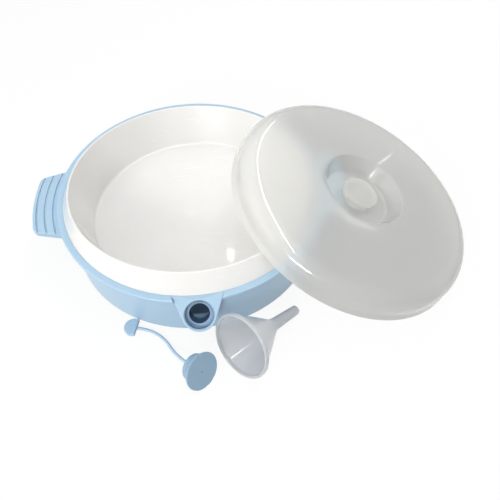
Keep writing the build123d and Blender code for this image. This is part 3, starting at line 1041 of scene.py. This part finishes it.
@dataclass
class Stopper:
    """The bung, its strap and the toggle at the strap's end."""

    shell: Shell
    face_radius: float = 15.0
    face_round: float = 0.7
    cone_length: float = 7.0
    shoulder_radius: float = 10.8
    clearance: float = 0.2
    nose_length: float = 3.5
    nose_chamfer: float = 0.5
    dimple_radius: float = 1.1
    dimple_depth: float = 1.0
    nick_radius: float = 4.0
    nick_depth: float = 1.3
    nick_reach: float = 1.5
    nick_angles: tuple[float, ...] = (20.0, -12.0)
    x: float = -1.3
    distance: float = 36.6
    heading: float = -43.0
    gap: float = 0.05
    strap_diameter: float = 2.4
    strap_lead: float = 7.0
    toggle_thickness: float = 2.2
    rib_width: float = 1.7
    rib_height: float = 3.6
    rib_half: float = 7.0
    bulge: float = 8.6
    toggle_edge: float = 0.6

    @property
    def length(self) -> float:
        """Length of the bung from its face to its nose."""
        return self.cone_length + self.nose_length

    @property
    def nose_radius(self) -> float:
        """Radius of the nose, a clearance less than the mouth's."""
        return self.shell.mouth_radius - self.clearance

    def place(self) -> np.ndarray:
        """Matrix of the bung, which lies on its face's rim and its nose."""
        slope = (self.face_radius - self.shoulder_radius) / self.cone_length
        centre = self.face_radius - self.face_round * (slope + math.sqrt(1 + slope ** 2))
        front = (centre, self.face_round, self.face_round)
        back = (self.nose_radius, self.length - self.nose_chamfer, 0)
        return resting_place(self.x, -self.shell.rim_radius - self.distance, self.heading, front, back, self.gap)

    def route(self) -> np.ndarray:
        """Points of the strap's route from the nose to the toggle, as the CAD has them.

        Returns:
            Array of shape (points, 3).
        """
        on_axis = np.array([[0, 0, -self.length], [0, 0, -self.length - self.strap_lead]])
        rest, front = self.strap_diameter / 2 + self.gap, -self.shell.rim_radius
        table = np.array([(-21.0, front - 16.6, 3.4), (-24.6, front - 10.6, rest), (-28.5, front - 3.8, rest),
                          (-35.0, front + 3.0, rest), (-43.0, front + 7.6, rest), (-51.2, front + 10.0, rest)])
        return np.concatenate([moved(on_axis, self.place()), table])

    def build_bung(self, finishes: Finishes) -> bpy.types.Object:
        """Make the bung: a cone whose face has a gate dimple and two nicks in its rim.

        A nick is a circle centred outside the rim. At angle t from its middle it limits the radius to
        reach cos(t) - sqrt(nick^2 - reach^2 sin(t)^2).

        Args:
            finishes: the materials.

        Returns:
            The bung.
        """
        angles = full_turn(384)
        line = rounded([(0, -self.dimple_depth), (self.dimple_radius, 0), (self.face_radius, 0),
                        (self.shoulder_radius, -self.cone_length), (self.nose_radius, -self.cone_length),
                        (self.nose_radius, -self.length), (0, -self.length)],
                       [0, 0.15, self.face_round, 0.3, 0.2, self.nose_chamfer, 0])
        profile = np.repeat(line, len(angles), 1)
        reach = self.face_radius + self.nick_radius - self.nick_depth
        for middle in self.nick_angles:
            off = np.mod(angles - math.radians(middle) + math.pi, 2 * math.pi) - math.pi
            inside = self.nick_radius ** 2 - (reach * np.sin(off)) ** 2
            limit = np.where((inside > 0) & (np.abs(off) < 1), reach * np.cos(off) - np.sqrt(np.maximum(inside, 0)),
                             self.face_radius * 2)
            near = profile[..., 1] > -self.nick_reach
            profile[..., 0] = np.where(near, np.minimum(profile[..., 0], limit), profile[..., 0])
        bung = turned_object("stopper_bung", profile, self.place(), False, angles)
        return finish_piece(bung, finishes.soft, Body.STOPPER, "stopper_soft", "stopper_plug")

    def build_toggle(self, finishes: Finishes) -> bpy.types.Object:
        """Make the toggle: a half moon with a rib along its straight edge.

        Args:
            finishes: the materials.

        Returns:
            The toggle.
        """
        end, before = self.route()[-1], self.route()[-2]
        turn = math.degrees(math.atan2(end[1] - before[1], end[0] - before[0]))
        where = place(end[0], end[1], self.gap, turn, 0)
        start = self.rib_width / 2
        depth = self.bulge + self.rib_width - start
        circle = (self.rib_half ** 2 + depth ** 2) / (2 * depth)
        sweep = math.asin(min(1.0, self.rib_half / circle))
        sweep = math.pi - sweep if depth > circle else sweep
        arc = np.linspace(-sweep, sweep, 40)
        leaf = np.stack([start + depth - circle + circle * np.cos(arc), circle * np.sin(arc)], -1)
        toggle = slab_object("strap_toggle_leaf", leaf, 0, self.toggle_thickness, self.toggle_edge, where)
        corner = rounded([(self.rib_width / 2, 0), (self.rib_width, 0), (self.rib_width, self.rib_half),
                          (0, self.rib_half), (0, 0)], [0, 0, 0.7, 0.7, 0])[1:-1, 0]
        outline = np.concatenate([(corner * (1, -1))[::-1], corner[1:]])
        rib = slab_object("rib", outline, 0, self.rib_height, self.toggle_edge, where)
        combine(toggle, rib, Cut.JOIN)
        return finish_piece(toggle, finishes.soft_painted_lighter, Body.STOPPER, "stopper_soft", "strap_toggle")

    def build_strap(self, finishes: Finishes) -> None:
        """Lay the strap as one smooth curve from the bung's nose to the toggle.

        Args:
            finishes: the materials.
        """
        route = self.route() * MM
        curve = bpy.data.curves.new("stopper_strap_cord", "CURVE")
        curve.dimensions = "3D"
        curve.bevel_depth = self.strap_diameter / 2 * MM
        curve.bevel_resolution = 6
        curve.use_fill_caps = True
        spline = curve.splines.new("NURBS")
        spline.points.add(len(route) - 1)
        spline.points.foreach_set("co", np.hstack([route, np.ones((len(route), 1))]).ravel())
        spline.order_u = 3
        spline.use_endpoint_u = True
        spline.resolution_u = 12
        strap = bpy.data.objects.new("stopper_strap_cord", curve)
        bpy.context.scene.collection.objects.link(strap)
        curve.materials.append(finishes.soft_painted_lighter)
        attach(strap, Body.STOPPER.value)
        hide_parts("stopper_strap")
        LOG.info("%s: %d route points on %s", strap.name, len(route), Body.STOPPER.value)

    def build(self, finishes: Finishes) -> None:
        """Build the strap first, then the bung and the toggle."""
        self.build_strap(finishes)
        self.build_bung(finishes)
        self.build_toggle(finishes)


@dataclass
class Funnel:
    """The small filling funnel that lies on its side."""

    shell: Shell
    length: float = 64.0
    mouth_radius: float = 25.4
    band_width: float = 2.6
    band_step: float = 0.9
    wall: float = 1.1
    neck_height: float = 28.5
    neck_radius: float = 5.0
    neck_blend: float = 14.0
    tip_radius: float = 3.9
    x: float = 26.9
    distance: float = 25.6
    heading: float = -142.0
    gap: float = 0.05

    def place(self) -> np.ndarray:
        """Matrix of the funnel, which lies on its mouth's band and its tip."""
        front, back = (self.mouth_radius, self.band_width, 0), (self.tip_radius, self.length, 0)
        return resting_place(self.x, -self.shell.rim_radius - self.distance, self.heading, front, back, self.gap)

    def build(self, finishes: Finishes) -> None:
        """Turn the funnel's wall and lay it down."""
        neck, cone = self.neck_height - self.length, self.mouth_radius - self.band_step
        outside = [((self.mouth_radius, 0), 0.35), ((self.mouth_radius, -self.band_width), 0.35),
                   ((cone, -self.band_width), 0.3), ((self.neck_radius, neck), self.neck_blend),
                   ((self.tip_radius, -self.length), 0.3)]
        inside = [((self.tip_radius - self.wall, -self.length), 0.3),
                  ((self.neck_radius - self.wall, neck), self.neck_blend + self.wall),
                  ((cone - self.wall, -self.band_width), 1.5), ((cone - self.wall, 0), 0.35)]
        corners = [((cone, 0), 0), *outside, *inside, ((cone, 0), 0)]
        line = rounded([c for c, _ in corners], [r for _, r in corners])[:-1]
        funnel = turned_object("funnel_cone", line, self.place(), True, full_turn(192))
        finish_piece(funnel, finishes.funnel, Body.FUNNEL, "clear_funnel", "funnel")


# Studio


@dataclass(frozen=True)
class Lamp:
    """One rectangular lamp that faces the object, in metres."""

    name: str
    at: tuple[float, float, float]
    along: tuple[float, float, float]
    length: float
    width: float
    watts: float

    def add(self) -> None:
        """Put the lamp in the scene: its light goes to the object and its long side runs along a direction."""
        data = bpy.data.lights.new(self.name, "AREA")
        data.shape, data.size, data.size_y, data.energy = "RECTANGLE", self.length, self.width, self.watts
        back = (Vector(self.at) - Vector(OBJECT_MIDDLE)).normalized()
        side = Vector(self.along)
        side = (side - side.dot(back) * back).normalized()
        lamp = bpy.data.objects.new(self.name, data)
        lamp.matrix_world = Matrix.Translation(self.at) @ Matrix((side, back.cross(side), back)).transposed().to_4x4()
        bpy.context.scene.collection.objects.link(lamp)


OBJECT_MIDDLE = (0.05, -0.02, 0.04)
LAMPS = (
    Lamp("ceiling tube", (0.21, 0.13, 0.81), (0.76, 1.46, -0.44), 1.7, 0.034, 3.8),
    Lamp("front window", (-0.45, -0.89, 0.50), (0.9, -0.45, 0.0), 0.45, 0.16, 4.2),
    Lamp("side sky", (-1.0, -0.1, 0.7), (0.0, 1.0, 0.0), 0.9, 0.6, 1.5),
    Lamp("far slit", (0.884, 0.672, 0.31), (0.0, 0.0, 1.0), 0.06, 0.003, 0.0045),
    Lamp("back bulb", (-0.06, 0.71, 0.845), (1.0, 0.0, 0.0), 0.0045, 0.0045, 0.004),
    Lamp("back pane", (0.051, 0.588, 0.905), (1.0, 0.0, 0.0), 0.016, 0.032, 0.024),
)


@dataclass(frozen=True)
class Studio:
    """Camera, floor, world and lamps."""

    camera_at: tuple[float, float, float] = (0.0177, -0.2908, 0.3533)
    camera_pitch: float = 53.73
    camera_heading: float = 84.0
    lens: float = 36.0
    floor_half: float = 6.0
    floor_drop: float = 0.0002
    shadow_share: float = 0.18
    through_share: float = 0.0
    floor_pale: float = 0.6
    floor_through: float = 0.33
    floor_glow: float = 1.08
    sky_middle: float = 0.39
    sky_swing: float = 0.36
    sky_towards: tuple[float, float, float] = (-0.60, -0.20, 0.77)

    def add_camera(self) -> None:
        """Set the camera where the photograph was taken from."""
        data = bpy.data.cameras.new("camera")
        data.lens, data.sensor_width = self.lens, 36.0
        data.clip_start = 0.01
        camera = bpy.data.objects.new("camera", data)
        camera.location = self.camera_at
        camera.rotation_euler = (math.radians(90 - self.camera_pitch), 0, math.radians(self.camera_heading - 90))
        bpy.context.scene.collection.objects.link(camera)
        bpy.context.scene.camera = camera

    def shown_share(self, sheet: NodeSheet, straight: float, through: float) -> bpy.types.NodeSocket:
        """Share of plain white that a ray sees in the background.

        Args:
            sheet: the node tree to build in.
            straight: the share for camera and mirrored rays.
            through: the share for rays that come through clear plastic.

        Returns:
            The share's socket, 0 for the rays that light the object.
        """
        path = sheet.add("ShaderNodeLightPath")
        seen = sheet.maths("MAXIMUM", path.outputs["Is Camera Ray"], path.outputs["Is Glossy Ray"])
        crossing = path.outputs["Is Transmission Ray"]
        direct = sheet.maths("MAXIMUM", sheet.maths("SUBTRACT", seen, crossing), 0.0)
        clear = sheet.maths("MULTIPLY", crossing, through)
        return sheet.maths("MAXIMUM", sheet.maths("MULTIPLY", direct, straight), clear)

    def add_floor(self) -> None:
        """Lay a pale floor that shows white and keeps a soft share of the shadows."""
        half, low = self.floor_half, -self.floor_drop
        mesh = bpy.data.meshes.new("floor")
        mesh.from_pydata([(-half, -half, low), (half, -half, low), (half, half, low), (-half, half, low)], [],
                         [(0, 1, 2, 3)])
        floor = bpy.data.objects.new("floor", mesh)
        bpy.context.scene.collection.objects.link(floor)
        material = bpy.data.materials.new("pale_floor")
        material.use_nodes = True
        sheet = NodeSheet(material.node_tree)
        out = material.node_tree.nodes["Material Output"]
        paper = material.node_tree.nodes["Principled BSDF"]
        path = sheet.add("ShaderNodeLightPath")
        tone = sheet.ranged(path.outputs["Is Transmission Ray"], 0.0, 1.0, self.floor_pale, self.floor_through)
        sheet.link(tone, paper.inputs["Base Color"])
        paper.inputs["Roughness"].default_value = 0.9
        paper.inputs["Specular IOR Level"].default_value = 0.0
        glow = sheet.add("ShaderNodeEmission")
        glow.inputs["Strength"].default_value = self.floor_glow
        mix = sheet.add("ShaderNodeMixShader")
        share = self.shown_share(sheet, 1 - self.shadow_share, self.through_share)
        sheet.link(share, mix.inputs["Fac"])
        sheet.link(paper.outputs["BSDF"], mix.inputs[1])
        sheet.link(glow.outputs["Emission"], mix.inputs[2])
        sheet.link(mix.outputs["Shader"], out.inputs["Surface"])
        mesh.materials.append(material)
        floor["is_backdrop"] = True

    def add_world(self) -> None:
        """Surround the scene with pale light, stronger from one side, that shows as white.

        The light's strength at a direction is the middle plus the swing times that direction's cosine to
        the bright side.
        """
        world = bpy.data.worlds.new("studio")
        bpy.context.scene.world = world
        world.use_nodes = True
        sheet = NodeSheet(world.node_tree)
        light = world.node_tree.nodes["Background"]
        light.inputs["Color"].default_value = (1, 1, 1, 1)
        facing = sheet.add("ShaderNodeVectorMath", operation="DOT_PRODUCT")
        sheet.link(sheet.add("ShaderNodeTexCoord").outputs["Generated"], facing.inputs[0])
        facing.inputs[1].default_value = self.sky_towards
        lowest, highest = self.sky_middle - self.sky_swing, self.sky_middle + self.sky_swing
        lit = sheet.ranged(facing.outputs["Value"], -1.0, 1.0, lowest, highest)
        sheet.link(sheet.maths("MAXIMUM", lit, self.shown_share(sheet, 1.0, 0.6)), light.inputs["Strength"])

    def build(self) -> None:
        """Set up everything that isn't the object."""
        bpy.context.scene.view_settings.view_transform = "Standard"
        self.add_camera()
        self.add_floor()
        self.add_world()
        for lamp in LAMPS:
            lamp.add()


def corners(box: tuple) -> list[list[float]]:
    """Turn a pair of corners into plain lists."""
    return [list(map(float, corner)) for corner in box]


def main() -> None:
    """Load the frame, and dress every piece."""
    logging.basicConfig(level=logging.INFO, format="%(message)s")
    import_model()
    cad_box = corners(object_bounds())
    Studio().build()
    low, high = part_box("outer_shell")
    shell = Shell(rim_radius=(high.x - low.x) / 2 / MM, rim_height=high.z / MM)
    finishes = Finishes()
    Stopper(shell).build(finishes)
    shell.build(finishes)
    Dish(shell).build(finishes)
    Funnel(shell).build(finishes)
    Lid(shell).build(finishes)
    {"cad": cad_box, "visual": corners(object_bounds())}


if __name__ == "__main__":
    main()
